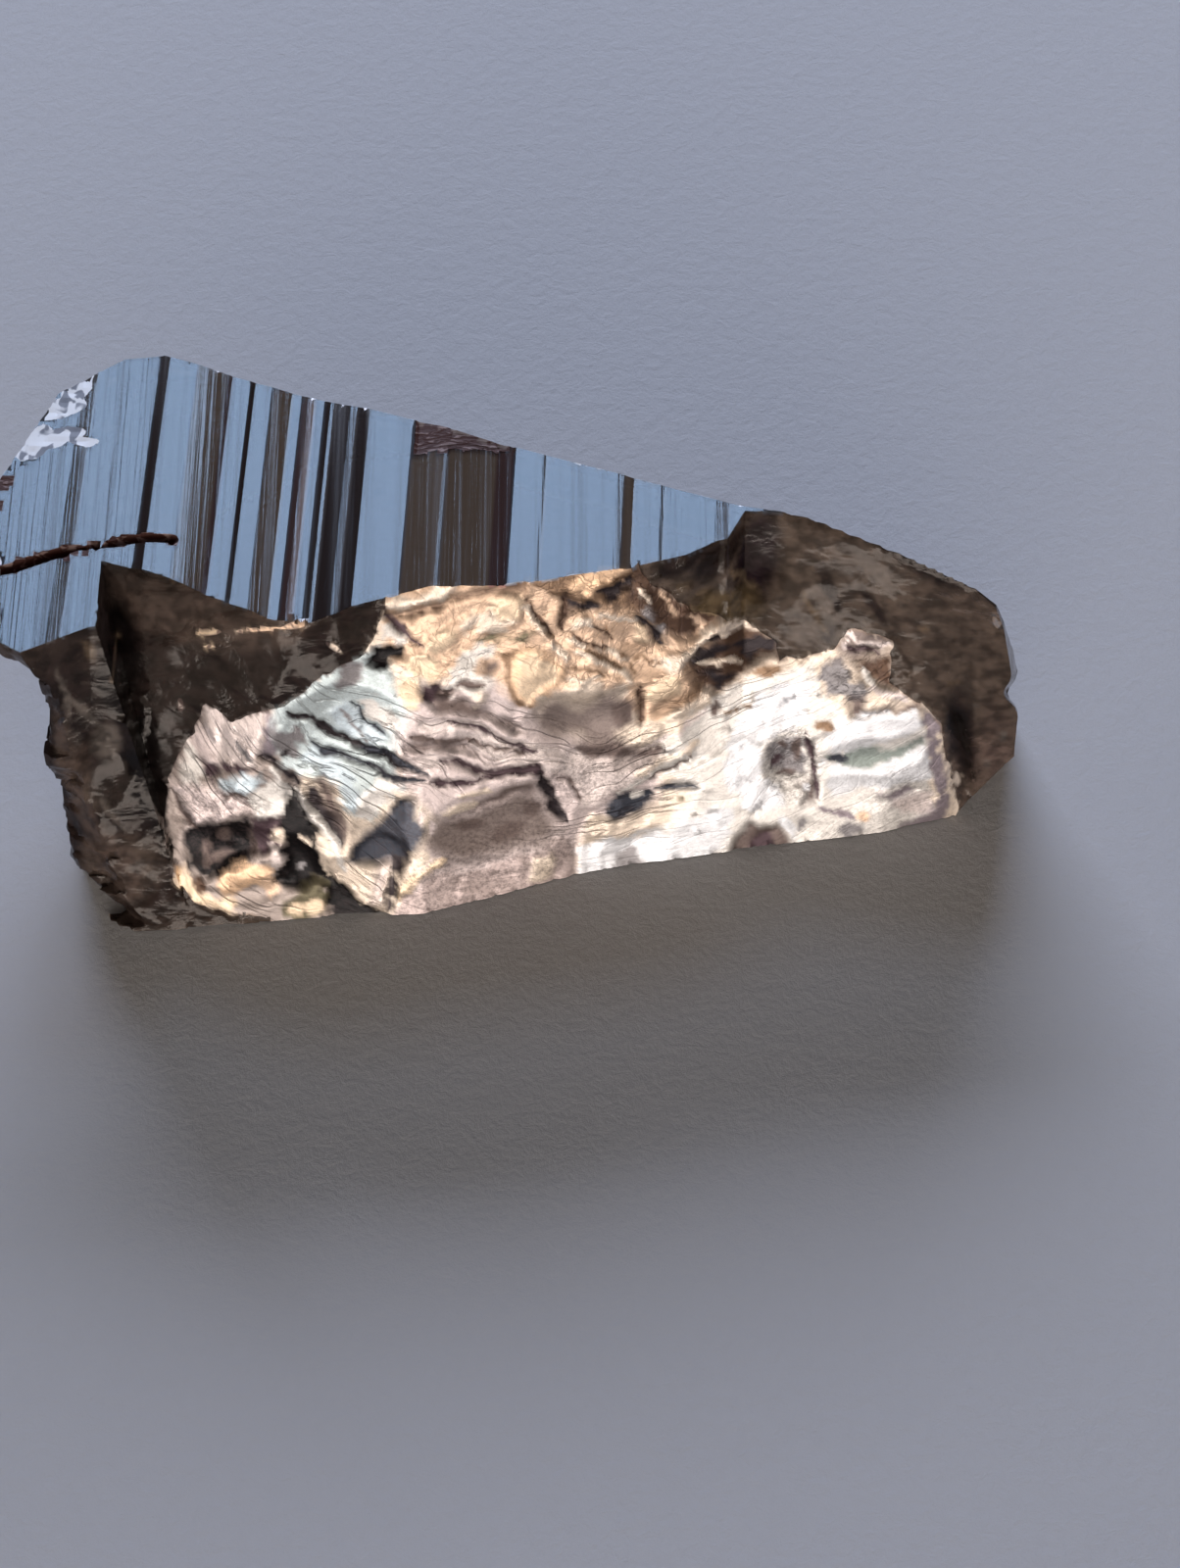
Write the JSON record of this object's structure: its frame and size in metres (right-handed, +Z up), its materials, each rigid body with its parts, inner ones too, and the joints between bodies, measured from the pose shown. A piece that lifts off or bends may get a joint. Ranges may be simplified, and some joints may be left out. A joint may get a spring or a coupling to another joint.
{
  "type": "rough mineral crystal",
  "caption": "Rough axinite: one thick wedge-shaped crystal with a striated growth face on top, a conchoidal broken front and a flat break to rest on.",
  "frame": {"origin": "middle of the bounding box's footprint, at the height of the flat break that the crystal rests on", "axes": "+X along the crystal from its thick end to its rounded end, +Y from the bright broken front to the back break and along the striations, +Z up out of the striated face"},
  "size_m": [0.031, 0.015, 0.0091],
  "materials": {
    "axinite": "clear clove-brown crystal, glassy on the striated face, uneven on the breaks"
  },
  "bodies": {
    "root": {"crystal": "axinite"}
  },
  "joints": []
}
